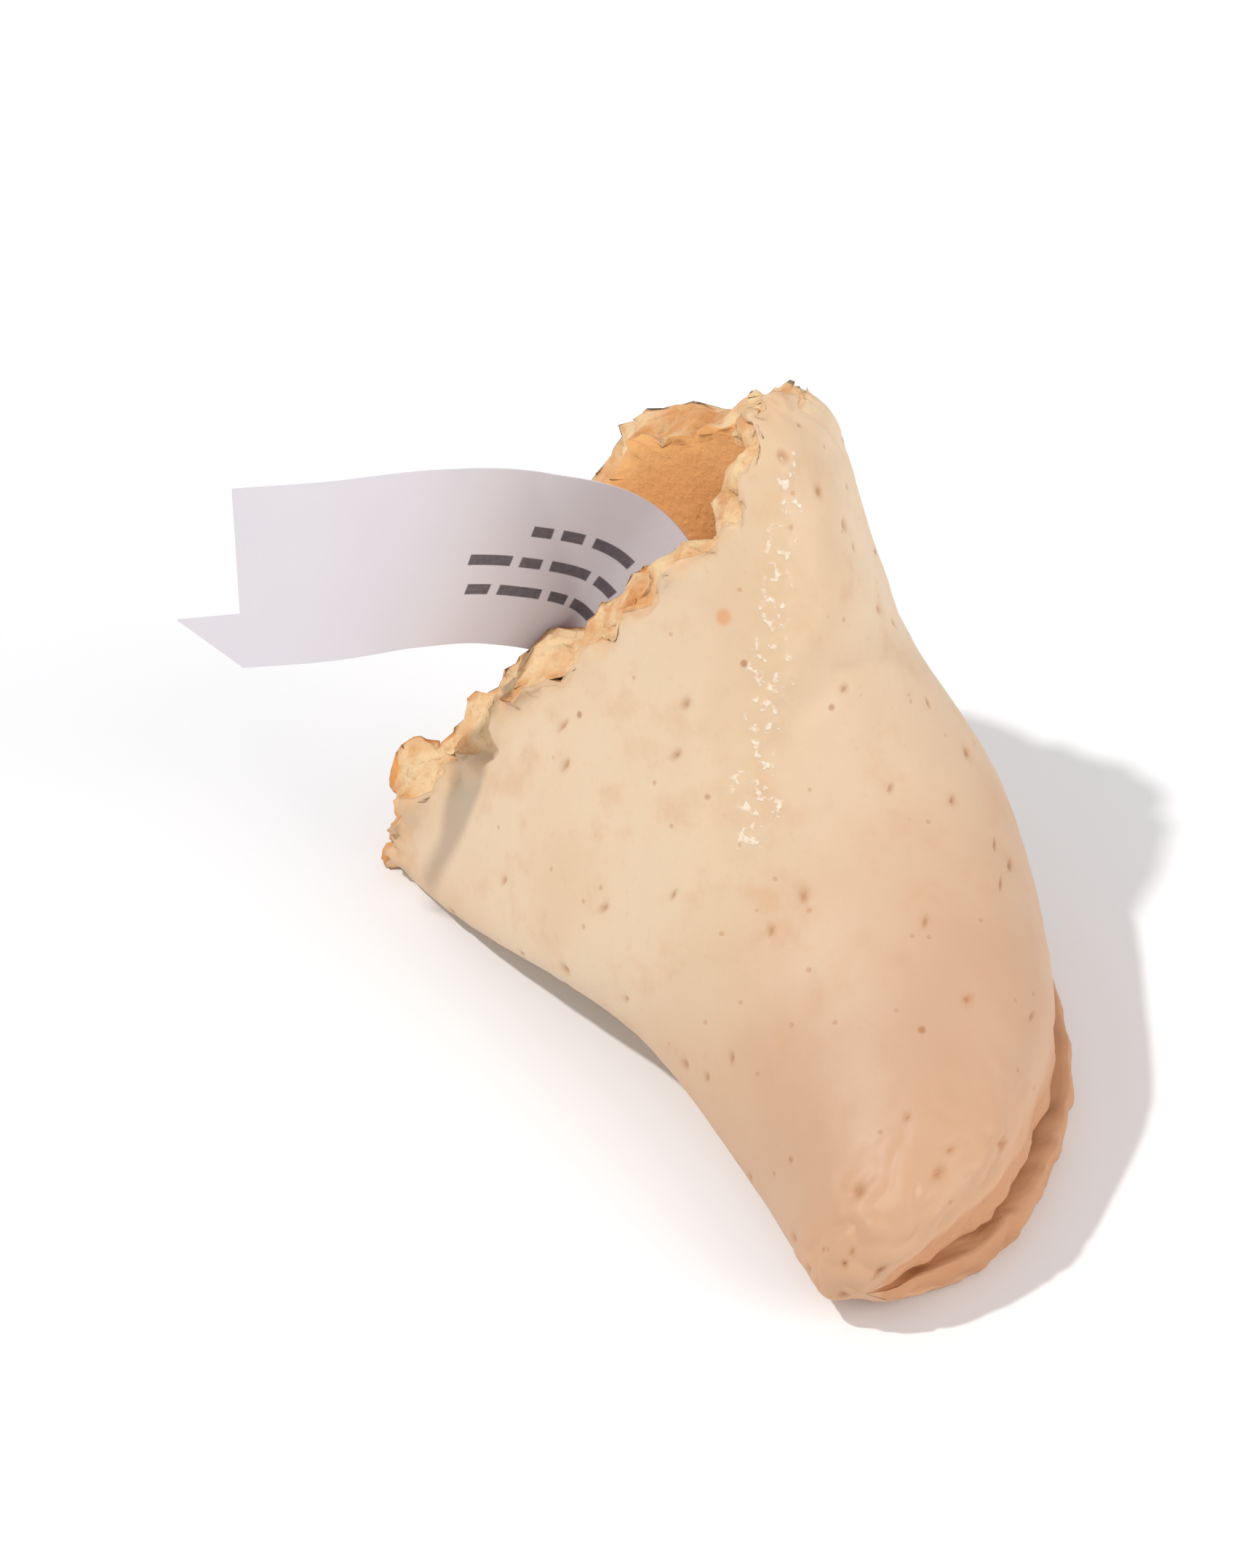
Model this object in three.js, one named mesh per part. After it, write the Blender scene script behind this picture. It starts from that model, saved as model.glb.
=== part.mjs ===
// Half of a broken fortune cookie with its paper slip.
//
// A fortune cookie is a thin round wafer, folded in half over a loose rounded fold and then bent
// at the middle of that fold.  Broken at the bend, each half is a hollow pouch: the rounded fold
// runs along one side, the two rims of the wafer meet in a seam along the other, both end in a
// blunt horn, and the fourth side is the torn mouth, out of which the slip of paper hangs.
//
// Millimetres, +Z up.  The half lies on its back layer with the horn towards -Y and the mouth
// towards -X and +Y.  The origin is the middle of the bounding box, on the ground.

import * as THREE from "three";

// ---- Driving dimensions -------------------------------------------------------------------

const WALL = 2.6; // thickness of the baked wafer
const RIM = 2.3; // height of one layer's rim at the seam, from the slit to the outer face
const SLIT = 0.7; // opening of the slit between the two rims
const SLIT_DEPTH = 2.4; // how far the slit runs in
const SLIT_SHARE = 0.3; // but no further than this share of the rib, at the horn
const SEAM_BOND = 5.2; // from the rims in to where the two layers part inside
const GROUND_PRESS = 0.9; // depth of the underside that is pressed flat where it rests

// Ribs of the pouch, from the torn tongue (station 0) past the bend (station 1) to the horn.
// fold: outermost line of the rounded fold.  seam: middle of the two rims.
// swell: how far the front and the back layer stand off the line between them.
// lip: how far the back layer's rim stands out past the front layer's.
// skew: shift of the front layer's crest towards the seam, as a share of the rib.
// face: where the front looks.
const RIBS = [
  {
    fold: [-7.0, 10.6, 2.2], seam: [13.4, 9.2, 33.6],
    swell: [3.6, 5.0], lip: -0.4, skew: 0.1, face: [-0.6, -0.6, 0.45],
  },
  {
    fold: [0.4, 1.4, 1.7], seam: [21.4, 0.8, 35.2],
    swell: [4.8, 6.6], lip: -0.6, skew: 0.18, face: [-0.3, -0.74, 0.55],
  },
  {
    fold: [5.2, -6.4, 3.6], seam: [24.6, 1.2, 30.8],
    swell: [7.8, 7.2], lip: -1.0, skew: 0.2, face: [-0.08, -0.72, 0.62],
  },
  {
    fold: [9.8, -12.6, 5.5], seam: [26.2, 1.4, 23.6],
    swell: [10.4, 5.6], lip: -1.2, skew: 0.18, face: [0.02, -0.62, 0.75],
  },
  {
    fold: [13.6, -17.2, 6.2], seam: [28.4, 0.8, 15.2],
    swell: [11.8, 4.4], lip: -0.8, skew: 0.12, face: [-0.02, -0.45, 0.87],
  },
  {
    fold: [17.2, -22.6, 5.8], seam: [32.8, -4.0, 6.4],
    swell: [11.2, 4.0], lip: 0.5, skew: 0.08, face: [0, -0.25, 0.97],
  },
  {
    fold: [20.2, -28.6, 5.2], seam: [35.2, -17.0, 5.0],
    swell: [8.6, 3.8], lip: 1.5, skew: 0.07, face: [0, -0.15, 1],
  },
  {
    fold: [22.0, -33.0, 4.8], seam: [33.0, -27.6, 4.8],
    swell: [5.4, 3.2], lip: 1.7, skew: 0.07, face: [0, -0.15, 1],
  },
  {
    fold: [22.8, -35.4, 4.6], seam: [27.4, -35.0, 4.6],
    swell: [2.4, 1.8], lip: 0.7, skew: 0.07, face: [0, -0.2, 1],
  },
];
const BEND = 1; // station of the bend, where the cookie broke
const HORN = RIBS.length - 1; // station of the horn
const HOLLOW_END = 6.7; // station where the two layers close up inside

const FRONT_LEAN = 0.06; // 0 makes a layer as round at the seam as at the fold
const BACK_LEAN = 0.3;
const HORN_ROUND = 0.6; // stations over which the horn rounds off to its blunt end
const HORN_STOP = 0.98; // how far that rounding runs before the end is closed
const WALL_LESS = 0.78; // share of the wall that the hollow's swell gives up
const GAPE = 0.5; // half of the hollow's height where the two layers part
const CROWDING = 1.05; // above 1 the facets crowd towards the tear

const LAYER_STEPS = 24; // facets round each layer, from the seam to the fold
const LENGTH_STEPS = 30; // facets from the mouth to the horn
const TONGUE = 0.85; // how many stations the back layer's torn tongue runs past the bend
const TONGUE_PLACE = 0.36; // where it is longest, as a share of the way from the seam to the fold
const TONGUE_SPREAD = 0.17; // half of its width, as the same share
const BITE = 0.52; // how many stations the tear runs into the front layer
const BITE_PLACE = 0.42; // where it is deepest, as a share of the way from the seam to the fold
const BITE_SPREAD = 0.17; // half of its width, as the same share
const RAGGED = 0.055; // unevenness of the tear, in stations
const SLANT = 0.26; // how much further out the tear is on the front layer's inner face, in stations

const SLIP_WIDTH = 10.5;
const SLIP_THICK = 0.2;
const EAR_START = 0.28; // the dog-eared corner's height on the crease, as a share of the width
const EAR_TIP = new THREE.Vector3(-3.4, 0.8, 2.6); // from the crease's lower end to the turned corner
const CREASE_ROUND = 0.04; // how far the ear's upper end stands off the crease, as a share of EAR_TIP
const TURN_FROM = 0.25; // shares along the slip between which it turns upright
const TURN_TO = 0.9;
const SLIP_STEPS = 26;

// ---- The pouch ----------------------------------------------------------------------------

function curveOf(pointOf) {
  const points = RIBS.map((rib) => new THREE.Vector3(...pointOf(rib)));
  return new THREE.CatmullRomCurve3(points, false, "catmullrom", 0.5);
}
const foldCurve = curveOf((rib) => rib.fold);
const seamCurve = curveOf((rib) => rib.seam);
const faceCurve = curveOf((rib) => rib.face);
const swellCurve = curveOf((rib) => [...rib.swell, rib.lip]);
const skewCurve = curveOf((rib) => [rib.skew, 0, 0]);

// The frame of the rib at a station: where it starts, its two directions and its sizes.
function ribAt(station) {
  const share = THREE.MathUtils.clamp(station / HORN, 0, 1);
  const fold = foldCurve.getPoint(share);
  const across = seamCurve.getPoint(share).sub(fold);
  const width = across.length();
  across.normalize();
  const out = faceCurve.getPoint(share);
  out.addScaledVector(across, -out.dot(across)).normalize();
  const swell = swellCurve.getPoint(share);
  const skew = skewCurve.getPoint(share).x;
  return { fold, across, out, width, front: swell.x, back: swell.y, lip: swell.z, skew };
}

// Height of a swelling layer over the line from fold to seam: round at the fold, leaner at the seam.
function swellShape(turn, lean) {
  return Math.sin(turn) * Math.sin(turn / 2) ** lean * (1 + lean / 4);
}

// Turn of the nth facet corner of a layer: 0 at the seam, half a turn at the fold.
const turnAt = (n) => (Math.PI * n) / LAYER_STEPS;

// One closed section of the outside: the front layer from seam to fold, the back layer from fold
// to seam, and the slit between the two rims.
function outerSection(rib) {
  const points = [];
  const reach = rib.width;
  for (let n = 0; n <= LAYER_STEPS; n++) {
    const along = (1 + Math.cos(turnAt(n))) / 2;
    const skewed = along + rib.skew * Math.sin(turnAt(n)) ** 2;
    points.push([reach * skewed, rib.front * swellShape(turnAt(n), FRONT_LEAN) + RIM * along ** 2]);
  }
  for (let n = LAYER_STEPS - 1; n >= 0; n--) {
    const along = (1 + Math.cos(turnAt(n))) / 2;
    const height = rib.back * swellShape(turnAt(n), BACK_LEAN) + RIM * along ** 2;
    points.push([(reach + rib.lip) * along, -height]);
  }
  const depth = Math.min(SLIT_DEPTH, rib.width * SLIT_SHARE);
  points.push([reach + rib.lip, -SLIT / 2]);
  points.push([reach - depth, -SLIT / 4]);
  points.push([reach - depth, SLIT / 4]);
  points.push([reach, SLIT / 2]);
  return points;
}

// One closed section of the hollow, with as many corners as the outside has.
function innerSection(rib) {
  const points = [];
  const reach = rib.width - WALL - SEAM_BOND;
  const front = rib.front - WALL * WALL_LESS;
  const back = rib.back - WALL * WALL_LESS;
  for (let n = 0; n <= LAYER_STEPS; n++) {
    const along = (1 + Math.cos(turnAt(n))) / 2;
    const skewed = along + rib.skew * Math.sin(turnAt(n)) ** 2;
    points.push([WALL + reach * skewed, front * swellShape(turnAt(n), FRONT_LEAN) + GAPE * along]);
  }
  for (let n = LAYER_STEPS - 1; n >= 0; n--) {
    const along = (1 + Math.cos(turnAt(n))) / 2;
    points.push([WALL + reach * along, -back * swellShape(turnAt(n), BACK_LEAN) - GAPE * along]);
  }
  for (const share of [-0.6, -0.2, 0.2, 0.6]) points.push([WALL + reach, GAPE * share]);
  return points;
}

const place = (rib, [along, height]) =>
  rib.fold.clone().addScaledVector(rib.across, along).addScaledVector(rib.out, height);

// Draws a corner in towards the middle of its section where the horn rounds off.
function rounded([along, height], rib, station) {
  const into = THREE.MathUtils.clamp((station - HORN + HORN_ROUND) / HORN_ROUND, 0, HORN_STOP);
  const scale = Math.sqrt(1 - into ** 2);
  return [rib.width / 2 + (along - rib.width / 2) * scale, height * scale];
}

// Station of the tear at a corner of the section: about the bend, with a bite out of the front
// layer and a tongue on the back layer.  lean is 1 on the inner face, where the slanting tear lies
// further out on the front layer and further in on the back layer, and 0 on the outer face.
function tearStation(corner, lean) {
  const turnShare = corner / (2 * LAYER_STEPS);
  const ragged = Math.sin(turnShare * 71 + 0.4) + 0.8 * Math.sin(turnShare * 37 + 2.1);
  const fromSeam = Math.min(2 * turnShare, 2 - 2 * turnShare);
  const calm = Math.min(1, 4 * Math.sin(Math.PI * fromSeam)); // nothing at the seam and the fold
  const tongue = calm * Math.exp(-(((fromSeam - TONGUE_PLACE) / TONGUE_SPREAD) ** 2));
  const bite = calm * Math.exp(-(((fromSeam - BITE_PLACE) / BITE_SPREAD) ** 2));
  const slant = SLANT * lean * calm;
  const even = BEND + RAGGED * ragged * calm;
  return turnShare < 0.5 ? even + BITE * bite - slant : even - TONGUE * tongue + slant;
}

// Rows of corners from the tear to the end of a skin, in world space.
function skin(section, lean, endStation, steps) {
  const rows = [];
  for (let row = 0; row <= steps; row++) {
    const share = (row / steps) ** CROWDING;
    const points = [];
    const corners = section(ribAt(BEND)).length;
    for (let corner = 0; corner < corners; corner++) {
      const start = tearStation(Math.min(corner, 2 * LAYER_STEPS), lean);
      const station = start + (endStation - start) * share;
      const rib = ribAt(station);
      points.push(place(rib, rounded(section(rib)[corner], rib, station)));
    }
    rows.push(points);
  }
  return rows;
}

// A closed body from the outer skin, the inner skin and the torn edge that joins them.
function shellGeometry(outer, inner) {
  const corners = outer[0].length;
  const positions = [];
  const faces = [];
  const addRow = (row) => {
    const first = positions.length / 3;
    row.forEach((p) => positions.push(p.x, p.y, p.z));
    return first;
  };
  const bridge = (a, b) => {
    for (let c = 0; c < corners; c++) {
      const next = (c + 1) % corners;
      faces.push(a + c, b + next, b + c, a + c, a + next, b + next);
    }
  };
  const closeEnd = (row, points, flip) => {
    const middle = new THREE.Vector3();
    points.forEach((p) => middle.add(p));
    middle.divideScalar(points.length);
    const tip = positions.length / 3;
    positions.push(middle.x, middle.y, middle.z);
    for (let c = 0; c < corners; c++) {
      const next = (c + 1) % corners;
      faces.push(tip, ...(flip ? [row + c, row + next] : [row + next, row + c]));
    }
  };
  const outerRows = outer.map(addRow);
  const innerRows = inner.map(addRow);
  for (let r = 1; r < outerRows.length; r++) bridge(outerRows[r - 1], outerRows[r]);
  for (let r = 1; r < innerRows.length; r++) bridge(innerRows[r], innerRows[r - 1]);
  bridge(innerRows[0], outerRows[0]);
  closeEnd(outerRows.at(-1), outer.at(-1), true);
  closeEnd(innerRows.at(-1), inner.at(-1), false);
  return indexed(positions, faces);
}

function indexed(positions, faces) {
  const geometry = new THREE.BufferGeometry();
  geometry.setAttribute("position", new THREE.Float32BufferAttribute(positions, 3));
  geometry.setIndex(faces);
  geometry.computeVertexNormals();
  return geometry;
}

// Presses the lowest of the underside flat, so that the half stands on it.
function pressFlat(geometry, depth) {
  geometry.computeBoundingBox();
  const ground = geometry.boundingBox.min.z + depth;
  const position = geometry.attributes.position;
  for (let n = 0; n < position.count; n++) position.setZ(n, Math.max(position.getZ(n), ground));
  geometry.computeBoundingBox();
}

// ---- The slip -----------------------------------------------------------------------------

// Middle line of the slip, from its end inside the pouch to the crease at its free end.
const slipLine = new THREE.CatmullRomCurve3([
  new THREE.Vector3(15.0, -3.2, 17.2),
  new THREE.Vector3(13.8, -1.0, 19.4),
  new THREE.Vector3(11.4, 1.1, 22.0),
  new THREE.Vector3(7.2, 0.4, 24.0),
  new THREE.Vector3(2.6, -2.6, 26.6),
  new THREE.Vector3(-2.6, -4.4, 27.3),
  new THREE.Vector3(-7.4, -4.8, 27.2),
]);
const SLIP_TOP_INSIDE = new THREE.Vector3(0.5, 0.25, 0.86); // way across the slip in the pouch
const SLIP_TOP_FREE = new THREE.Vector3(0, 0.24, 1.0); // way across the slip at its free end

// The four corners of the slip's section at a place along it.
function slipSection(share) {
  const middle = slipLine.getPoint(share);
  const ahead = slipLine.getTangent(share);
  const turned = THREE.MathUtils.smoothstep(share, TURN_FROM, TURN_TO);
  const up = SLIP_TOP_INSIDE.clone().lerp(SLIP_TOP_FREE, turned);
  up.addScaledVector(ahead, -up.dot(ahead)).normalize().multiplyScalar(SLIP_WIDTH / 2);
  const side = new THREE.Vector3().crossVectors(ahead, up).setLength(SLIP_THICK / 2);
  const bottom = middle.clone().sub(up);
  const top = middle.clone().add(up);
  return { top, bottom, side };
}

// The slip is a bent strip that ends at its crease, where a corner is turned aside as a dog-ear.
function slipGeometry() {
  const positions = [];
  const faces = [];
  const addSection = (top, bottom, side) => {
    for (const [end, sign] of [[top, 1], [bottom, 1], [bottom, -1], [top, -1]]) {
      const point = end.clone().addScaledVector(side, sign);
      positions.push(point.x, point.y, point.z);
    }
  };
  for (let row = 0; row <= SLIP_STEPS; row++) {
    const { top, bottom, side } = slipSection(row / SLIP_STEPS);
    addSection(top, bottom, side);
  }
  const crease = slipSection(1);
  const earTop = crease.bottom.clone().lerp(crease.top, EAR_START).addScaledVector(EAR_TIP, CREASE_ROUND);
  const earTip = crease.bottom.clone().add(EAR_TIP);
  addSection(earTop, earTip, crease.side);
  for (let first = 0; first <= SLIP_STEPS * 4; first += 4) {
    for (let corner = 0; corner < 4; corner++) {
      const a = first + corner;
      const b = first + ((corner + 1) % 4);
      // The quads are cut from the bottom corners, so that the ear folds along the crease.
      if (corner === 2) faces.push(a, b, b + 4, a, b + 4, a + 4);
      else faces.push(a, b, a + 4, b, b + 4, a + 4);
    }
  }
  const last = (SLIP_STEPS + 1) * 4;
  faces.push(0, 2, 1, 0, 3, 2, last, last + 1, last + 2, last, last + 2, last + 3);
  return indexed(positions, faces);
}

// ---- Scene graph --------------------------------------------------------------------------

const baked = new THREE.MeshStandardMaterial({ color: 0xe6c49a, roughness: 0.62, metalness: 0 });
const paper = new THREE.MeshStandardMaterial({ color: 0xf1eff4, roughness: 0.85, metalness: 0 });

const cookieGeometry = shellGeometry(
  skin(outerSection, 0, HORN, LENGTH_STEPS), skin(innerSection, 1, HOLLOW_END, LENGTH_STEPS));
pressFlat(cookieGeometry, GROUND_PRESS);

const cookieHalf = new THREE.Mesh(cookieGeometry, baked);
cookieHalf.name = "cookie_half";
const slip = new THREE.Mesh(slipGeometry(), paper);
slip.name = "fortune_slip";

const half = new THREE.Group();
half.add(cookieHalf, slip);
const box = new THREE.Box3().setFromObject(half);
const middle = box.getCenter(new THREE.Vector3());
for (const mesh of half.children) mesh.geometry.translate(-middle.x, -middle.y, -box.min.z);

export default half;
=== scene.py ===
import math
import random

import bmesh
import bpy
import mathutils
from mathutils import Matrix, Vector, noise


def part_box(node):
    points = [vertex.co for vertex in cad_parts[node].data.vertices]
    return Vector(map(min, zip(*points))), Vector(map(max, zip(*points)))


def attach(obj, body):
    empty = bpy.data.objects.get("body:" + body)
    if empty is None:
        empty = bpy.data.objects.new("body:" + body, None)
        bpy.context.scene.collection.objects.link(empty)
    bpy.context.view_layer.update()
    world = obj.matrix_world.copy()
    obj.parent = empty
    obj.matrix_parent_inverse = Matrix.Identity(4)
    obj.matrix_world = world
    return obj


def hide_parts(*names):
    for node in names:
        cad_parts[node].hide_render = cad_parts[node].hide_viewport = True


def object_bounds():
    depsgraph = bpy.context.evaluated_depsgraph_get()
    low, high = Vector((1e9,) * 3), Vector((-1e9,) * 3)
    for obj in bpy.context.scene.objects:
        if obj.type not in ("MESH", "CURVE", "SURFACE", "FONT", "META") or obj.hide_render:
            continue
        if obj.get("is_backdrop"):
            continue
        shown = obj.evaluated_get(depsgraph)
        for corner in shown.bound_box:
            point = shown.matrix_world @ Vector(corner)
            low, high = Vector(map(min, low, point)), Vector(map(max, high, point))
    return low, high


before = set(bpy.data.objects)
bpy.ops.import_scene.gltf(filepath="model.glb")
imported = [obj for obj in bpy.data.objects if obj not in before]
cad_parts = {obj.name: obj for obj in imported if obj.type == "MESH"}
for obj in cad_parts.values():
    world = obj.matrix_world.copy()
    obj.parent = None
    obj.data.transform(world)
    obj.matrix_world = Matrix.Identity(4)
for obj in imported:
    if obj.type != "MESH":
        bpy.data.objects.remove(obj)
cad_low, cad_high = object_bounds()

MM = 0.001
WALL = 2.6              # thickness of the baked wafer at the fold
RIM = 2.3               # how far each layer's rim reaches from the middle of the slit
RIM_SOFT = 0.45         # rounding of the rims
SLIT = 0.7
SLIT_DEPTH = 2.4
SLIT_WALL = 0.7         # left between the slit and the hollow, before the tear is roughened
SEAM_BOND = 5.2         # from the rims in to where the two layers part inside
MOUTH_BOND = 2.1        # the same at the mouth, where the break has opened them
BOND_FROM, BOND_TO = 1.2, 3.2       # stations over which the one turns into the other
FRONT_LEAN = 0.06       # how much each layer's swell leans away from the seam, towards the fold
BACK_LEAN = 0.3
WALL_LESS = 0.78        # how much less the hollow swells than the outside, as a share of WALL
GAPE = 0.5              # half the height of the hollow where the layers part
HORN_ROUND = 0.6        # length of the rounding at the horn, in stations
BEND = 1.0              # station of the bend, where it broke
HOLLOW_END = 6.7        # station where the hollow ends
HOLLOW_CLOSES, HOLLOW_CLOSING = 0.92, 0.08      # where its end begins to close, and over how much
CROWDING = 1.05         # above 1 the rows of cells lie closer together at the tear

# Each rib: its end on the fold, its end on the seam, how far the front and the back layer swell
# from the line between them, how far the back rim stands out as a lip, how far the front's crest
# lies towards the seam, and the way the front looks.  Millimetres.
RIBS = [
    ((-7.0, 10.6, 2.2), (13.4, 9.2, 33.6), 3.6, 5.0, -0.4, 0.1, (-0.6, -0.6, 0.45)),
    ((0.4, 1.4, 1.7), (21.4, 0.8, 35.2), 4.8, 6.6, -0.6, 0.18, (-0.3, -0.74, 0.55)),
    ((5.2, -6.4, 3.6), (24.6, 1.2, 30.8), 7.8, 7.2, -1.0, 0.2, (-0.08, -0.72, 0.62)),
    ((9.8, -12.6, 5.5), (26.2, 1.4, 23.6), 10.4, 5.6, -1.2, 0.18, (0.02, -0.62, 0.75)),
    ((13.6, -17.2, 6.2), (28.4, 0.8, 15.2), 11.8, 4.4, -0.8, 0.12, (-0.02, -0.45, 0.87)),
    ((17.2, -22.6, 5.8), (32.8, -4.0, 6.4), 11.2, 4.0, 0.5, 0.08, (0.0, -0.25, 0.97)),
    ((20.2, -28.6, 5.2), (35.2, -17.0, 5.0), 8.6, 3.8, 1.5, 0.07, (0.0, -0.15, 1.0)),
    ((22.0, -33.0, 4.8), (33.0, -27.6, 4.8), 5.4, 3.2, 1.7, 0.07, (0.0, -0.15, 1.0)),
    ((22.8, -35.4, 4.6), (27.4, -35.0, 4.6), 2.4, 1.8, 0.7, 0.07, (0.0, -0.2, 1.0)),
]
HORN = len(RIBS) - 1

# The tear, in stations: a tongue left on the back layer, a bite out of the front one, a ragged
# wave along both, and a slant from the outer to the inner face.
TONGUE, TONGUE_PLACE, TONGUE_SPREAD = 0.85, 0.36, 0.17
BITE, BITE_PLACE, BITE_SPREAD = 0.52, 0.42, 0.17
RAGGED = 0.055
RAGGED_WAVES = ((1.0, 71, 0.4), (0.8, 37, 2.1))     # height, pace and start, the last two in radians
SLANT = 0.24
SLANT_FROM, SLANT_TO = 0.1, 0.5     # way round from the seam over which the slant sets in

LAYER_CELLS = 104       # cells of the grid round each layer, from seam to fold
RIM_CELLS = 28          # cells round the two rims and the slit between them
AROUND = 2 * LAYER_CELLS + RIM_CELLS
ALONG_OUTSIDE = 190
ALONG_INSIDE = 90
ACROSS_TEAR = 12


def smooth_path(points, share):
    """A point on the smooth curve through evenly spaced points."""
    place = min(max(share, 0.0), 1.0) * (len(points) - 1)
    left = min(int(place), len(points) - 2)
    t = place - left
    before = points[left - 1] if left > 0 else points[0] * 2 - points[1]
    after = points[left + 2] if left + 2 < len(points) else points[-1] * 2 - points[-2]
    a, b = points[left], points[left + 1]
    slope_a, slope_b = (b - before) * 0.5, (after - a) * 0.5
    return (
        a
        + slope_a * t
        + (b * 3 - a * 3 - slope_a * 2 - slope_b) * t**2
        + (a * 2 - b * 2 + slope_a + slope_b) * t**3
    )


def ramp(value, low, high):
    """0 below low, 1 above high and straight between."""
    return min(max((value - low) / (high - low), 0.0), 1.0)


fold_points = [Vector(rib[0]) for rib in RIBS]
seam_points = [Vector(rib[1]) for rib in RIBS]
swell_points = [Vector((rib[2], rib[3], 0)) for rib in RIBS]
rim_points = [Vector((rib[4], rib[5], 0)) for rib in RIBS]
face_points = [Vector(rib[6]) for rib in RIBS]


def rib_at(station):
    """Fold point, two directions, width, front and back swell, lip, skew and bond at a station."""
    share = station / HORN
    fold = smooth_path(fold_points, share)
    across = smooth_path(seam_points, share) - fold
    width = across.length
    across.normalize()
    out = smooth_path(face_points, share)
    out = (out - across * out.dot(across)).normalized()
    swell = smooth_path(swell_points, share)
    rim = smooth_path(rim_points, share)
    bonded = ramp(station, BOND_FROM, BOND_TO)
    return fold, across, out, width, swell.x, swell.y, rim.x, rim.y, bonded


def swell_shape(turn, lean):
    """Height of a layer's swell round half a turn from the seam to the fold."""
    return math.sin(turn) * max(math.sin(turn / 2), 0.0) ** lean * (1 + lean / 4)


def layer_point(turn, reach, swell, rim, skew, lean):
    """Place along and above the line from the fold to the seam, on one layer."""
    along = (1 + math.cos(turn)) / 2
    skewed = along + skew * math.sin(turn) ** 2
    return reach * skewed, swell * swell_shape(turn, lean) + rim * along**2


def bond_at(rib):
    """How far in from the rims the two layers part on this rib."""
    return MOUTH_BOND + (SEAM_BOND - MOUTH_BOND) * rib[8]


def rim_outline(width, lip_reach, bond):
    """Corners of the two rims and the slit, from the back layer's outer corner to the front's."""
    depth = min(SLIT_DEPTH, width * 0.3, bond - SLIT_WALL)
    soft = min(RIM_SOFT, width * 0.06)
    lip = width + lip_reach
    return [
        (lip, -RIM + soft),
        (lip + 0.12, -RIM * 0.6),
        (lip + 0.05, -SLIT / 2 - soft * 0.8),
        (lip - soft * 0.7, -SLIT / 2),
        (width - depth * 0.5, -SLIT * 0.42),
        (width - depth, -SLIT * 0.25),
        (width - depth, SLIT * 0.25),
        (width - depth * 0.5, SLIT * 0.42),
        (width - soft * 0.7, SLIT / 2),
        (width + 0.05, SLIT / 2 + soft * 0.8),
        (width + 0.1, RIM * 0.6),
        (width, RIM - soft),
    ]


def outer_section(cell, rib):
    """Place on the outer section: front layer, back layer, then rims and slit."""
    width, front, back, lip, skew = rib[3:8]
    if cell <= LAYER_CELLS:
        return layer_point(math.pi * cell / LAYER_CELLS, width, front, RIM, skew, FRONT_LEAN)
    if cell <= 2 * LAYER_CELLS:
        turn = math.pi * (2 - cell / LAYER_CELLS)
        along, height = layer_point(turn, width + lip, back, RIM, 0.0, BACK_LEAN)
        return along, -height
    outline = [(width + lip, -RIM)] + rim_outline(width, lip, bond_at(rib)) + [(width, RIM)]
    place = (cell - 2 * LAYER_CELLS) / RIM_CELLS * (len(outline) - 1)
    left = min(int(place), len(outline) - 2)
    t = place - left
    (a0, h0), (a1, h1) = outline[left], outline[left + 1]
    return a0 + (a1 - a0) * t, h0 + (h1 - h0) * t


def inner_section(cell, rib):
    """Place on the section of the hollow, with the same number of cells as the outside."""
    width, front, back, _, skew = rib[3:8]
    reach = width - WALL - bond_at(rib)
    if cell <= LAYER_CELLS:
        turn = math.pi * cell / LAYER_CELLS
        along, height = layer_point(turn, reach, front - WALL * WALL_LESS, 0.0, skew, FRONT_LEAN)
        return WALL + along, height + GAPE * (1 + math.cos(turn)) / 2
    if cell <= 2 * LAYER_CELLS:
        turn = math.pi * (2 - cell / LAYER_CELLS)
        along, height = layer_point(turn, reach, back - WALL * WALL_LESS, 0.0, 0.0, BACK_LEAN)
        return WALL + along, -height - GAPE * (1 + math.cos(turn)) / 2
    share = (cell - 2 * LAYER_CELLS) / RIM_CELLS
    return WALL + reach, GAPE * (2 * share - 1)


def rounded(along, height, width, station):
    """The same place on a section that shrinks to round off the horn."""
    into = min(max((station - HORN + HORN_ROUND) / HORN_ROUND, 0.0), 1.0)
    scale = math.sqrt(1 - into**2)
    return width / 2 + (along - width / 2) * scale, height * scale


def tear_station(cell, lean):
    """Station of the tear at a cell: about the bend, with a bite in front and a tongue behind.
    lean is 0 on the outer face and 1 on the inner face, where the slanting tear lies elsewhere."""
    share = min(cell / (2 * LAYER_CELLS), 1.0)
    from_seam = min(2 * share, 2 - 2 * share)
    calm = max(min(1.0, 4 * math.sin(math.pi * from_seam)), 0.0)
    ragged = sum(size * math.sin(share * pace + start) for size, pace, start in RAGGED_WAVES)
    tongue = calm * math.exp(-(((from_seam - TONGUE_PLACE) / TONGUE_SPREAD) ** 2))
    bite = calm * math.exp(-(((from_seam - BITE_PLACE) / BITE_SPREAD) ** 2))
    slant = SLANT * lean * calm * ramp(from_seam, SLANT_FROM, SLANT_TO)
    station = BEND + RAGGED * ragged * calm
    return station + BITE * bite - slant if share < 0.5 else station - TONGUE * tongue + slant


def skin_point(section, cell, station):
    """Point of the outer or inner section at a cell and a station."""
    rib = rib_at(station)
    along, height = rounded(*section(cell, rib), rib[3], station)
    return rib[0] + rib[1] * along + rib[2] * height


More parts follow.
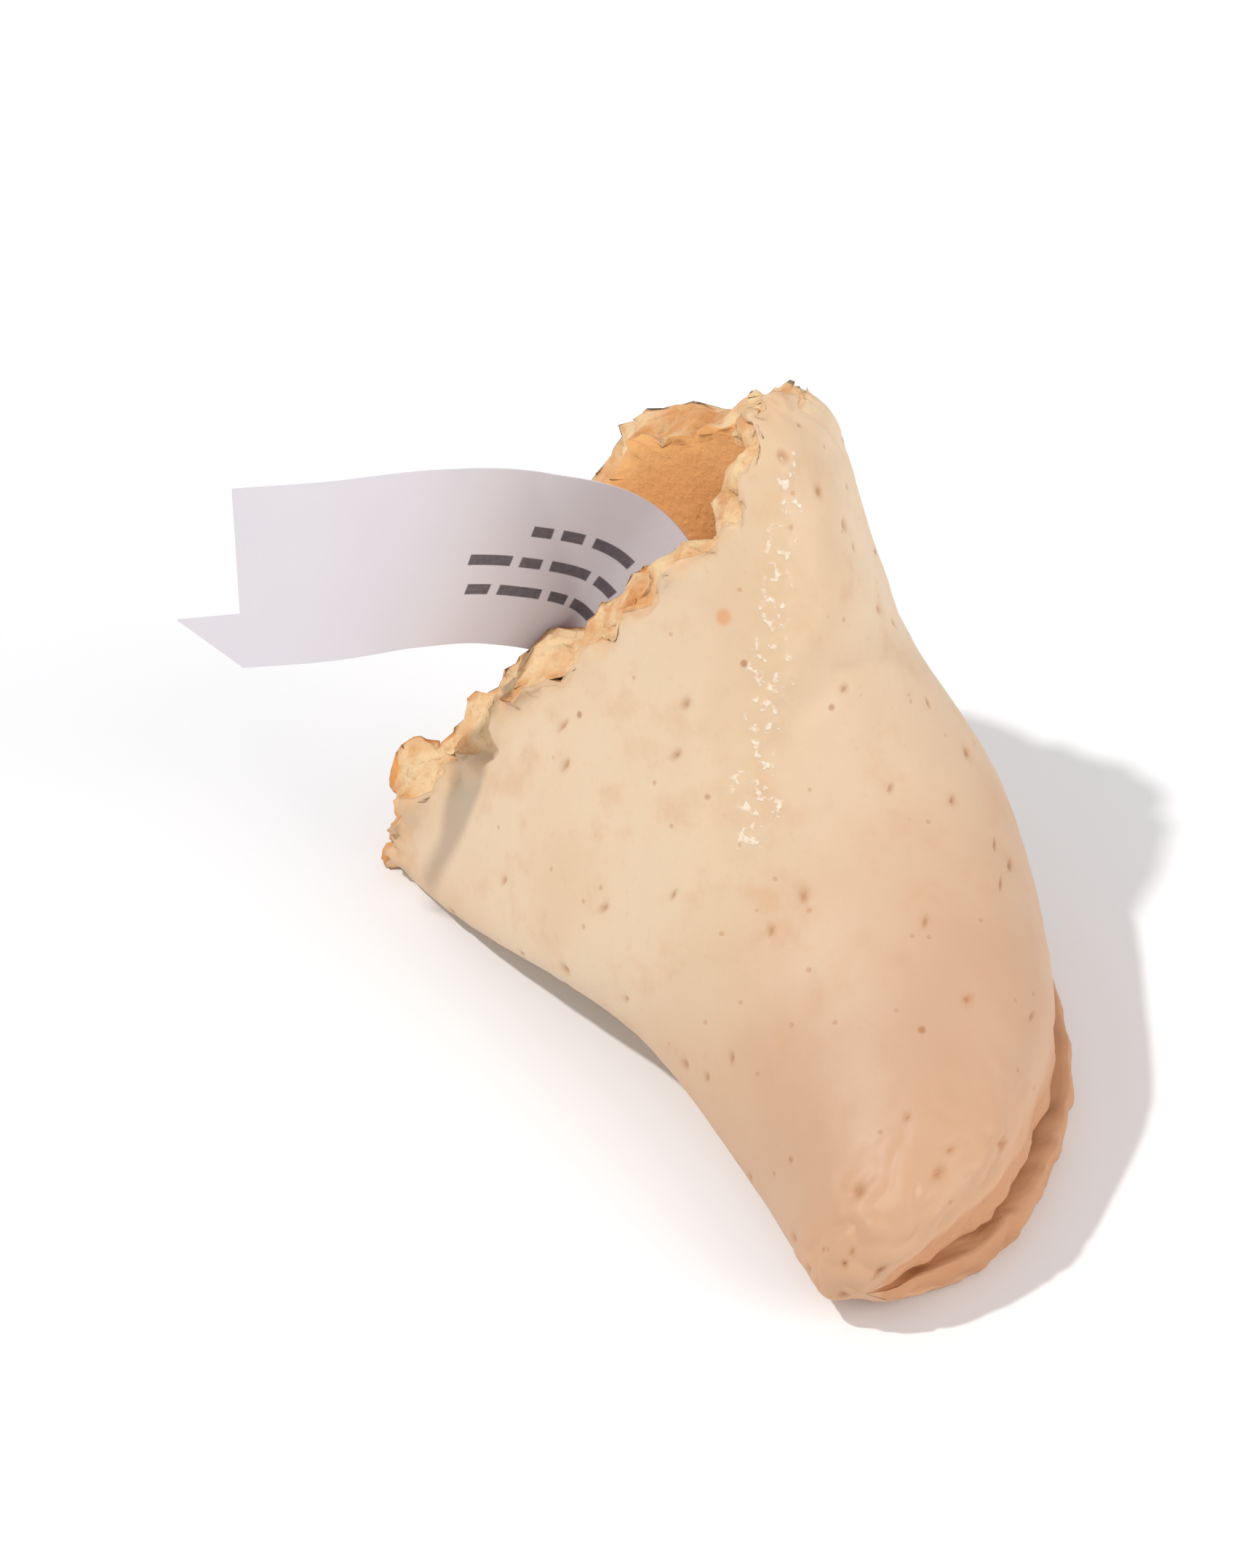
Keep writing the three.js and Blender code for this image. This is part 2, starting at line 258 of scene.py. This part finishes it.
def grid_object(name, columns, rows):
    """A primitive grid of columns by rows cells, with nothing else selected."""
    bpy.ops.object.select_all(action="DESELECT")
    bpy.ops.mesh.primitive_grid_add(x_subdivisions=columns, y_subdivisions=rows, size=1)
    grid = bpy.context.object
    grid.name = name
    return grid


def lay_grid(name, columns, rows, point_at):
    """Lays a grid over point_at(column, row share), which also gives its zone and its place."""
    grid = grid_object(name, columns, rows)
    for mark in MARKS:
        grid.data.attributes.new(mark, "FLOAT", "POINT")
    marks = {mark: grid.data.attributes[mark] for mark in MARKS}
    for index, vertex in enumerate(grid.data.vertices):
        column = index % (columns + 1) % columns
        row = index // (columns + 1)
        point, values = point_at(column, row / rows)
        vertex.co = point
        for mark, value in zip(MARKS, values):
            marks[mark].data[index].value = value
    return grid


# zone is 0 outside, 1 torn and 2 inside.  The last two are filled in when the skin is roughened.
MARKS = ("zone", "from_tear", "rim", "station", "pit", "blister")
STATION_LENGTH = 8.0                # about how many millimetres lie between two stations
RIM_FADE = 0.13                     # share of a layer over which the rim mark fades
RIM_LEAST = 0.12                    # what is left of it near the tear
RIM_FROM, RIM_TO = 3.6, 5.0         # stations over which it sets in
tear_at = [tear_station(cell, 0) for cell in range(AROUND)]
inner_tear_at = [tear_station(cell, 1) for cell in range(AROUND)]


def rim_share(cell, station):
    """1 on the rims and at the slit, fading over the outer skin beside them, less near the tear."""
    beside = max(min(cell, 2 * LAYER_CELLS - cell), 0) / LAYER_CELLS
    along = RIM_LEAST + (1 - RIM_LEAST) * ramp(station, RIM_FROM, RIM_TO)
    return math.exp(-((beside / RIM_FADE) ** 2)) * along


def outside(cell, share):
    """Point of the outer skin, from the tear to the horn, with its marks."""
    station = tear_at[cell] + (HORN - tear_at[cell]) * share**CROWDING
    point = skin_point(outer_section, cell, station)
    from_tear = (station - tear_at[cell]) * STATION_LENGTH
    return point, (0.0, from_tear, rim_share(cell, station), station)


def inside(cell, share):
    """Point of the inner skin, from the tear to the hollow's end, with its marks."""
    start = inner_tear_at[cell]
    station = start + (HOLLOW_END - start) * share**CROWDING
    rib = rib_at(station)
    along, height = inner_section(cell, rib)
    closing = math.sqrt(max(1 - (max(share - HOLLOW_CLOSES, 0) / HOLLOW_CLOSING) ** 2, 0.0))
    along = rib[3] / 2 + (along - rib[3] / 2) * closing
    point = rib[0] + rib[1] * along + rib[2] * height * closing
    return point, (2.0, (station - start) * STATION_LENGTH, 0.0, station)


def torn(cell, share):
    """Point of the torn edge, from the outer skin to the inner one, with its marks."""
    outer = skin_point(outer_section, cell, tear_at[cell])
    inner = skin_point(inner_section, cell, inner_tear_at[cell])
    zone = 1.0 if 0 < share < 1 else 2.0 * share
    return outer.lerp(inner, share), (zone, 0.0, 0.0, tear_at[cell])


SEW_WITHIN = 0.004
skins = [
    lay_grid("outer_skin", AROUND, ALONG_OUTSIDE, outside),
    lay_grid("inner_skin", AROUND, ALONG_INSIDE, inside),
    lay_grid("torn_edge", AROUND, ACROSS_TEAR, torn),
]
bpy.ops.object.select_all(action="DESELECT")
for skin in skins:
    skin.select_set(True)
bpy.context.view_layer.objects.active = skins[0]
bpy.ops.object.join()
cookie = bpy.context.object
cookie.name = "baked_half"
cookie.data.name = "baked_half"
bpy.ops.object.mode_set(mode="EDIT")
bpy.ops.mesh.select_all(action="SELECT")
bpy.ops.mesh.remove_doubles(threshold=SEW_WITHIN)
bpy.ops.mesh.normals_make_consistent(inside=False)
bpy.ops.object.mode_set(mode="OBJECT")

# Where the plain shape lies against the CAD node gives the move into the frame.
cookie_low, cookie_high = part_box("cookie_half")
corners = [vertex.co for vertex in cookie.data.vertices]
plain_low = Vector(min(co[axis] for co in corners) for axis in range(3))
plain_high = Vector(max(co[axis] for co in corners) for axis in range(3))
move = (cookie_low + cookie_high) / 2 - (plain_low + plain_high) / 2 * MM
move.z = cookie_high.z - plain_high.z * MM

UNDULATION, UNDULATION_SCALE = 0.3, 9.0
SKIN_BUMP, SKIN_BUMP_SCALE = 0.05, 1.5
TEAR_TEETH = ((0.95, 2.6), (0.55, 1.0), (0.3, 0.45))    # height and size of the tear's roughness
TEETH_REACH = 0.8                   # how far from the tear they fade
TEETH_SHIFT = Vector((7, 3, 1))     # keeps their noise apart from the undulation
WRINKLE, WRINKLE_SCALE = 0.42, 1.5
WRINKLE_LEVEL = 0.25                # noise below this sinks in, above it stands out
WRINKLE_FROM, WRINKLE_TO = 6.2, 7.1
LIP_ROUGH, LIP_ROUGH_SCALE = 0.3, 1.7
LIP_FROM, LIP_TO = 0.6, 1.0         # values of the rim mark over which the lip's roughness sets in
SPOT_EDGE = 0.75                    # share of a spot's radius over which it falls off
PIT_COUNT = 110
PIT_CALM = 2.5                      # pits keep this far from the tear
PIT_RIM_MOST = 0.2                  # and to places where the rim mark is lower than this
PIT_LEAST, PIT_MOST = 0.16, 0.42    # radii
PIT_DEPTH = 0.6                     # depth as a share of the radius
BLISTER_COUNT = 95
BLISTER_HEIGHT = 0.14
BLISTER_LEAST, BLISTER_MOST = 0.45, 1.0
BLISTERS_FROM = (1.5, 0.12)         # station and place round the front layer where they begin
BLISTERS_TO = (4.2, 0.64)
BLISTER_BEND = 0.6                  # below 1 their line bends away from the seam
BLISTER_SCATTER = 0.014

# Both generators are seeded: without it the noise vectors start from the clock.
SEED = 21
random.seed(SEED)
noise.seed_set(SEED)
marks = {mark: [0.0] * len(cookie.data.vertices) for mark in MARKS}
for mark in MARKS:
    cookie.data.attributes[mark].data.foreach_get("value", marks[mark])
normals = [vertex.normal.copy() for vertex in cookie.data.vertices]
outer_points = [
    n for n, co in enumerate(corners)
    if marks["zone"][n] == 0 and marks["from_tear"][n] > PIT_CALM and marks["rim"][n] < PIT_RIM_MOST
]


def spots_tree(spots):
    """A search tree over spots, each a place and a radius."""
    tree = mathutils.kdtree.KDTree(len(spots))
    for index, (place, _) in enumerate(spots):
        tree.insert(place, index)
    tree.balance()
    return tree


def nearness(co, tree, spots):
    """1 in the middle of the nearest spot, falling to 0 past its radius, and that radius."""
    _, index, distance = tree.find(co)
    radius = spots[index][1]
    return math.exp(-((distance / radius / SPOT_EDGE) ** 2)), radius


def blister():
    """A small raised bubble on the crest of the front layer, where the batter was thickest."""
    t = random.random()
    station = BLISTERS_FROM[0] + (BLISTERS_TO[0] - BLISTERS_FROM[0]) * t
    around = BLISTERS_FROM[1] + (BLISTERS_TO[1] - BLISTERS_FROM[1]) * t**BLISTER_BEND
    cell = (around + random.gauss(0, BLISTER_SCATTER)) * LAYER_CELLS
    return skin_point(outer_section, cell, station), random.uniform(BLISTER_LEAST, BLISTER_MOST)


def small_pit():
    """A pore in the outer skin, away from the tear and the rims."""
    place = corners[random.choice(outer_points)].copy()
    return place, random.uniform(PIT_LEAST, PIT_MOST)


pits = [small_pit() for _ in range(PIT_COUNT)]
blisters = [blister() for _ in range(BLISTER_COUNT)]
pit_tree = spots_tree(pits)
blister_tree = spots_tree(blisters)


def roughened(n, co, normal):
    """A corner of the plain shape moved as the bake and the break left it."""
    zone, from_tear, station = marks["zone"][n], marks["from_tear"][n], marks["station"][n]
    moved = co + noise.noise_vector(co / UNDULATION_SCALE) * UNDULATION
    torn_share = math.exp(-((from_tear / TEETH_REACH) ** 2))
    for height, size in TEAR_TEETH:
        moved += noise.noise_vector(co / size + TEETH_SHIFT) * height * torn_share
    if zone == 0:
        moved += normal * noise.noise(co / SKIN_BUMP_SCALE) * SKIN_BUMP
        at_horn = ramp(station, WRINKLE_FROM, WRINKLE_TO)
        ridge = abs(noise.noise(co / WRINKLE_SCALE)) - WRINKLE_LEVEL
        moved += normal * ridge * WRINKLE * at_horn
        at_lip = ramp(marks["rim"][n], LIP_FROM, LIP_TO)
        moved += noise.noise_vector(co / LIP_ROUGH_SCALE) * LIP_ROUGH * at_lip
        pit, radius = nearness(co, pit_tree, pits)
        marks["pit"][n] = pit
        moved -= normal * radius * PIT_DEPTH * pit
        raised, _ = nearness(co, blister_tree, blisters)
        marks["blister"][n] = raised
        moved += normal * BLISTER_HEIGHT * raised
    return moved


new_corners = [roughened(n, co.copy(), normals[n]) for n, co in enumerate(corners)]
for vertex, co in zip(cookie.data.vertices, new_corners):
    place = co * MM + move
    place.z = max(place.z, cad_low.z)
    vertex.co = place
for mark in ("pit", "blister"):
    cookie.data.attributes[mark].data.foreach_set("value", marks[mark])
cookie.data.update()
bpy.ops.object.select_all(action="DESELECT")
cookie.select_set(True)
bpy.ops.object.shade_smooth()


class Wire:
    """A socket that adds Math nodes when it is used in an expression."""

    def __init__(self, graph, socket):
        self.graph = graph
        self.socket = socket

    def _math(self, operation, *values, clamp=False):
        return self.graph.add("ShaderNodeMath", {"operation": operation, "use_clamp": clamp}, values)

    def __add__(self, other):
        return self._math("ADD", self, other)

    def __radd__(self, other):
        return self._math("ADD", other, self)

    def __sub__(self, other):
        return self._math("SUBTRACT", self, other)

    def __rsub__(self, other):
        return self._math("SUBTRACT", other, self)

    def __mul__(self, other):
        return self._math("MULTIPLY", self, other)

    def __rmul__(self, other):
        return self._math("MULTIPLY", other, self)

    def held(self):
        """The same value kept between 0 and 1."""
        return self._math("ADD", self, 0.0, clamp=True)

    def rise(self, low, high):
        """0 below low and 1 above high, smoothly."""
        settings = {"interpolation_type": "SMOOTHSTEP"}
        return self.graph.add("ShaderNodeMapRange", settings, (self, low, high, 0.0, 1.0))


SPOT_CORE = 0.35            # share of a spot's reach that is fully its colour
SPOT_CHANCE_EDGE = 0.02


class Graph:
    """The node tree of one material."""

    def __init__(self, name):
        self.material = bpy.data.materials.new(name)
        self.material.use_nodes = True
        self.tree = self.material.node_tree
        self.tree.nodes.clear()

    def add(self, kind, settings=None, values=(), output=0):
        """Adds a node, sets it, and gives its sockets their values; values is a list or a dict."""
        node = self.tree.nodes.new(kind)
        for name, value in (settings or {}).items():
            setattr(node, name, value)
        pairs = values.items() if isinstance(values, dict) else enumerate(values)
        for key, value in pairs:
            if value is None:
                continue
            if isinstance(value, Wire):
                self.tree.links.new(value.socket, node.inputs[key])
            else:
                node.inputs[key].default_value = value
        return Wire(self, node.outputs[output])

    def blend(self, factor, a, b):
        """A Mix node on two colours."""
        settings = {"data_type": "RGBA", "blend_type": "MIX"}
        return self.add("ShaderNodeMix", settings, {0: factor, 6: a, 7: b}, output=2)

    def mark(self, name):
        """One of the values kept on the mesh."""
        return self.add("ShaderNodeAttribute", {"attribute_name": name}, output=2)

    def place(self):
        """The point in the object's own coordinates."""
        return self.add("ShaderNodeTexCoord", output=3)

    def cloud(self, size, detail=3.0, rough=0.5, offset=0.0):
        """Soft noise of about this size in millimetres, from 0 to 1."""
        values = {
            "Vector": self.moved(offset),
            "Scale": 1 / (size * MM),
            "Detail": detail,
            "Roughness": rough,
        }
        return self.add("ShaderNodeTexNoise", {}, values)

    def moved(self, offset):
        """That point shifted, so that two patterns of one kind don't lie alike."""
        values = {"Vector": self.place(), "Location": (offset, offset, offset)}
        return self.add("ShaderNodeMapping", {}, values)

    def spots(self, size, reach, share, offset=0.0):
        """Round spots on a lattice of this size, of this reach, kept in this share of the cells."""
        values = {"Vector": self.moved(offset), "Scale": 1 / (size * MM)}
        distance = self.add("ShaderNodeTexVoronoi", {}, values)
        random_colour = self.add("ShaderNodeTexVoronoi", {}, values, output=1)
        chance = self.add("ShaderNodeSeparateColor", {}, (random_colour,))
        kept = chance.rise(1 - share, 1 - share + SPOT_CHANCE_EDGE)
        return (1 - distance.rise(reach * SPOT_CORE, reach)) * kept

    def finish(self, colour, roughness, bump, **constants):
        """Principled shader with these links and constants."""
        values = {"Base Color": colour, "Roughness": roughness, "Normal": bump, **constants}
        shader = self.add("ShaderNodeBsdfPrincipled", {}, values)
        output = self.tree.nodes.new("ShaderNodeOutputMaterial")
        self.tree.links.new(shader.socket, output.inputs[0])
        return self.material


def linear(value):
    """A display value from 0 to 255 as linear light, by the sRGB curve."""
    value /= 255
    return value / 12.92 if value <= 0.04045 else ((value + 0.055) / 1.055) ** 2.4


def colour(red, green, blue):
    """A colour given in display values, as the shader wants it."""
    return linear(red), linear(green), linear(blue), 1.0


def baked_wafer():
    """Pale baked batter: cream outside, warmer in patches, browned at the rims, orange inside,
    with painted glints of highlight along the front crest.
    """
    g = Graph("baked_wafer")
    zone = g.mark("zone")
    rim = g.mark("rim")
    from_tear = g.mark("from_tear")
    station = g.mark("station")
    pit = g.mark("pit")
    blister = g.mark("blister")

    broad = g.cloud(11, 2.0)
    patch = g.cloud(3.2, 4.0, 0.6, 0.02)
    grain = g.cloud(0.5, 3.0, 0.6, 0.05)
    skin = g.blend(broad.rise(0.35, 0.68), colour(225, 199, 167), colour(219, 187, 152))
    skin = g.blend(patch.rise(0.52, 0.75) * 0.45, skin, colour(214, 170, 131))
    skin = g.blend(grain.rise(0.55, 0.8) * 0.2, skin, colour(206, 160, 118))
    towards_horn = station.rise(3.4, 6.2)
    skin = g.blend(towards_horn * (0.6 + broad * 0.4), skin, colour(198, 157, 127))

    at_horn = station.rise(6.1, 7.3)
    browning = (rim * 0.5 + at_horn * 0.5 + (patch - 0.5) * 0.6).held()
    skin = g.blend(browning * 0.7, skin, colour(212, 160, 118))
    lip = rim.rise(0.6, 0.95)
    skin = g.blend(lip * (0.65 + patch * 0.35), skin, colour(196, 140, 98))

    freckles = g.spots(2.2, 0.13, 0.22)
    pores = g.spots(0.9, 0.2, 0.14, 0.03)
    blushes = g.spots(7.0, 0.09, 0.4, 0.07)
    skin = g.blend(freckles * 0.7, skin, colour(170, 108, 62))
    skin = g.blend(pores * 0.5, skin, colour(196, 138, 90))
    skin = g.blend(blushes * 0.6, skin, colour(222, 146, 92))
    skin = g.blend(pit * 0.7, skin, colour(180, 118, 70))

    crumb = g.blend(patch.rise(0.35, 0.7), colour(238, 206, 160), colour(218, 152, 92))
    crumb = g.blend(grain.rise(0.5, 0.75) * 0.45, crumb, colour(192, 122, 64))
    hollow = g.blend(broad.rise(0.3, 0.7), colour(240, 180, 114), colour(226, 152, 84))
    hollow = g.blend(patch.rise(0.5, 0.8) * 0.5, hollow, colour(244, 200, 142))

    torn_share = zone.rise(0.05, 0.6)
    inner_share = zone.rise(1.3, 1.95)
    edge = (1 - from_tear.rise(0.0, 1.3)) * (1 - torn_share) * patch.rise(0.3, 0.6)
    shade = g.blend(edge * 0.5, skin, colour(224, 172, 120))
    shade = g.blend(torn_share, shade, crumb)
    shade = g.blend(inner_share, shade, hollow)

    # Painted highlight: near-white specks on the blistered crest stand in for glints of the key light.
    painted_glints = g.cloud(0.5, 2.0, 0.5, 0.11).rise(0.54, 0.68) * blister.rise(0.08, 0.5)
    shade = g.blend(painted_glints * 0.5, shade, colour(255, 246, 230))
    roughness = 0.4 + patch * 0.2 + torn_share * 0.3 - blister * 0.12 - painted_glints * 0.22
    height = broad * 0.2 + patch * 0.35 + grain * 0.16 - freckles * 0.5 - pores * 0.4
    height = height + torn_share * grain * 1.2 + painted_glints * 0.5
    bump = g.add("ShaderNodeBump", {}, {"Strength": 0.55, "Distance": 0.00016, "Height": height})
    return g.finish(shade, roughness, bump, IOR=1.45)


cookie.data.materials.clear()
cookie.data.materials.append(baked_wafer())
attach(cookie, "root")
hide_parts("cookie_half")


# ---------------------------------------------------------------------------------------------
# The slip: a strip of thin white paper with plain printed bars, one end in the pouch and the other
# hanging out in a slow wave, with one corner turned aside at a crease.  It is a grid laid along a
# smooth line and given its thickness by Solidify.
# ---------------------------------------------------------------------------------------------
SLIP_WIDTH = 10.5
SLIP_THICK = 0.16
# The middle of the slip, from its hidden end to the crease.
SLIP_LINE = [
    (15.0, -3.2, 17.2),
    (13.8, -1.0, 19.4),
    (11.4, 1.1, 22.0),
    (7.2, 0.4, 24.0),
    (2.6, -2.6, 26.6),
    (-2.6, -4.4, 27.3),
    (-7.4, -4.8, 27.2),
]
SLIP_TOP_INSIDE = Vector((0.5, 0.25, 0.86))     # which way its upper edge lies, at either end
SLIP_TOP_FREE = Vector((0.0, 0.24, 1.0))
TURN_FROM, TURN_OVER = 0.25, 0.65   # where along it the one begins to turn into the other, and over what
CURL = 0.25                         # how far the slip bows across its width
AHEAD = 0.002                       # step along the slip that gives its direction
SLIP_COLUMNS = 150
SLIP_ROWS = 40
EAR_START = 0.28                    # share of the crease that the turned corner takes up
EAR_TIP = Vector((-3.4, 0.8, 2.6))  # its tip, from the slip's lower corner
EAR_STEPS = 8
EAR_SEW_WITHIN = 0.000005

slip_points = [Vector(point) for point in SLIP_LINE]


def slip_place(share, across):
    """A point on the slip: share along it from the hidden end, across from -1 at the bottom to 1."""
    middle = smooth_path(slip_points, share)
    ahead = smooth_path(slip_points, min(share + AHEAD, 1)) - smooth_path(slip_points, share - AHEAD)
    ahead.normalize()
    turned = min(max((share - TURN_FROM) / TURN_OVER, 0.0), 1.0)
    turned = turned * turned * (3 - 2 * turned)
    up = SLIP_TOP_INSIDE.lerp(SLIP_TOP_FREE, turned)
    up = (up - ahead * up.dot(ahead)).normalized()
    side = ahead.cross(up)
    bow = CURL * (across**2 - 0.5) * math.sin(math.pi * share)
    return middle + up * (across * SLIP_WIDTH / 2) + side * bow


slip = grid_object("paper_slip", SLIP_COLUMNS, SLIP_ROWS)
layout = slip.data.uv_layers.active or slip.data.uv_layers.new(name="along_and_across")
flat = {}
for index, vertex in enumerate(slip.data.vertices):
    share = (index % (SLIP_COLUMNS + 1)) / SLIP_COLUMNS
    across = 2 * (index // (SLIP_COLUMNS + 1)) / SLIP_ROWS - 1
    vertex.co = slip_place(share, across) * MM + move
    flat[index] = (share, (across + 1) / 2)
for loop in slip.data.loops:
    layout.data[loop.index].uv = flat[loop.vertex_index]

# The turned corner: a triangle beyond the crease, added to the grid's free end.
ear = bmesh.new()
ear.from_mesh(slip.data)
ear.verts.ensure_lookup_table()
crease = [ear.verts[row * (SLIP_COLUMNS + 1) + SLIP_COLUMNS] for row in range(SLIP_ROWS + 1)]
ear_rows = int(EAR_START * SLIP_ROWS) + 1
tip = slip_place(1.0, -1.0) + EAR_TIP
layer = ear.loops.layers.uv.active
columns = [crease[: ear_rows + 1]]
for step in range(1, EAR_STEPS + 1):
    t = step / EAR_STEPS
    column = []
    for vertex in crease[: ear_rows + 1]:
        column.append(ear.verts.new(vertex.co.lerp(tip * MM + move, t)))
    columns.append(column)
for left, right in zip(columns, columns[1:]):
    for row in range(ear_rows):
        face = ear.faces.new((left[row], right[row], right[row + 1], left[row + 1]))
        for loop in face.loops:
            loop[layer].uv = (1.0, 0.0)
bmesh.ops.remove_doubles(ear, verts=ear.verts, dist=EAR_SEW_WITHIN)
ear.to_mesh(slip.data)
ear.free()
bpy.ops.object.select_all(action="DESELECT")
slip.select_set(True)
bpy.context.view_layer.objects.active = slip
bpy.ops.object.modifier_add(type="SOLIDIFY")
slip.modifiers[-1].thickness = SLIP_THICK * MM
slip.modifiers[-1].offset = 0.0
bpy.ops.object.modifier_apply(modifier=slip.modifiers[-1].name)
bpy.ops.object.shade_smooth_by_angle(angle=math.radians(35))
layout_name = slip.data.uv_layers.active.name

# Print: rows of plain bars.  Each row is given by its middle across the slip, and each bar by its
# start and end along it, all as shares of the slip.
BAR_ROWS = {
    0.68: ((0.14, 0.2), (0.215, 0.29), (0.305, 0.38), (0.395, 0.44), (0.455, 0.5)),
    0.5: ((0.2, 0.27), (0.285, 0.34), (0.355, 0.44), (0.455, 0.5), (0.515, 0.6)),
    0.33: ((0.2, 0.26), (0.275, 0.36), (0.375, 0.42), (0.435, 0.52), (0.535, 0.585)),
}
BAR_HEIGHT = 0.026          # half the height of a bar
BAR_SOFT_ACROSS = 0.008
BAR_SOFT_ALONG = 0.003


def slip_paper():
    """Matt white paper with faint fibres and plain printed bars."""
    g = Graph("slip_paper")
    uv = g.add("ShaderNodeUVMap", {"uv_map": layout_name})
    along = g.add("ShaderNodeSeparateXYZ", {}, (uv,))
    across = g.add("ShaderNodeSeparateXYZ", {}, (uv,), output=1)
    fibre = g.cloud(0.35, 4.0, 0.6)
    broad = g.cloud(6.0, 2.0)
    shade = g.blend(broad, colour(222, 217, 221), colour(217, 211, 218))
    ink = None
    for middle, bars in BAR_ROWS.items():
        low, high = middle - BAR_HEIGHT, middle + BAR_HEIGHT
        row = across.rise(low - BAR_SOFT_ACROSS, low)
        row = row * (1 - across.rise(high, high + BAR_SOFT_ACROSS))
        for start, end in bars:
            begun = along.rise(start, start + BAR_SOFT_ALONG)
            bar = row * begun * (1 - along.rise(end - BAR_SOFT_ALONG, end))
            ink = bar if ink is None else ink + bar
    shade = g.blend(ink.held() * (0.8 + fibre * 0.2), shade, colour(78, 70, 78))
    roughness = 0.75 + fibre * 0.15
    bump = g.add("ShaderNodeBump", {}, {"Strength": 0.25, "Distance": 0.00004, "Height": fibre})
    return g.finish(shade, roughness, bump, IOR=1.45)


slip.data.materials.clear()
slip.data.materials.append(slip_paper())
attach(slip, "root")
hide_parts("fortune_slip")


# ---------------------------------------------------------------------------------------------
# The stage: a plain white table top, a crisp key light from the left, a soft fill from the right
# and a pale room round them, with the camera looking down on the cookie.
# ---------------------------------------------------------------------------------------------
FLOOR_SIZE = 3.0
bpy.ops.object.select_all(action="DESELECT")
bpy.ops.mesh.primitive_plane_add(size=FLOOR_SIZE, location=(0, 0, cad_low.z))
floor = bpy.context.object
floor.name = "table_top"


def table_white():
    """Matt white, very faintly uneven."""
    g = Graph("table_white")
    soft = g.cloud(40, 2.0)
    shade = g.blend(soft, colour(250, 250, 251), colour(246, 246, 248))
    return g.finish(shade, 0.7 + soft * 0.1, None)


floor.data.materials.append(table_white())
floor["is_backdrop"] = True


def round_light(name, source, distance, size, energy, tint):
    """A round lamp that shines on the middle of the stage from a direction."""
    source = Vector(source).normalized()
    bpy.ops.object.light_add(type="AREA", location=source * distance)
    light = bpy.context.object
    light.name = name
    light.rotation_mode = "QUATERNION"
    light.rotation_quaternion = source.to_track_quat("Z", "Y")
    light.data.shape = "DISK"
    light.data.size = size
    light.data.energy = energy
    light.data.color = tint


round_light("key_light", (-0.57, -0.12, 1.0), 0.9, 0.04, 4.1, (1.0, 0.99, 0.97))
round_light("fill_light", (0.85, -0.45, 0.5), 1.2, 0.9, 6.2, (1.0, 0.98, 0.96))

world = bpy.data.worlds.new("soft_room")
bpy.context.scene.world = world
world.use_nodes = True
sky = world.node_tree.nodes["Background"]
sky.inputs["Color"].default_value = (0.97, 0.98, 1.0, 1.0)
sky.inputs["Strength"].default_value = 0.56
bpy.context.scene.view_settings.view_transform = "Standard"

ELEVATION = 42.0
DISTANCE = 0.55
VIEW_HEIGHT = 0.082                 # height of what the camera sees at that distance
SENSOR = 36.0
low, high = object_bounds()
aim = (low + high) / 2
bpy.ops.object.camera_add()
camera = bpy.context.object
tilt = math.radians(ELEVATION)
back = Vector((0, -math.cos(tilt), math.sin(tilt)))
camera.location = aim + back * DISTANCE
camera.rotation_mode = "QUATERNION"
camera.rotation_quaternion = back.to_track_quat("Z", "Y")
camera.data.sensor_width = SENSOR
camera.data.lens = SENSOR * DISTANCE / VIEW_HEIGHT
camera.data.clip_start = 0.01
camera.data.clip_end = 10.0
bpy.context.scene.camera = camera
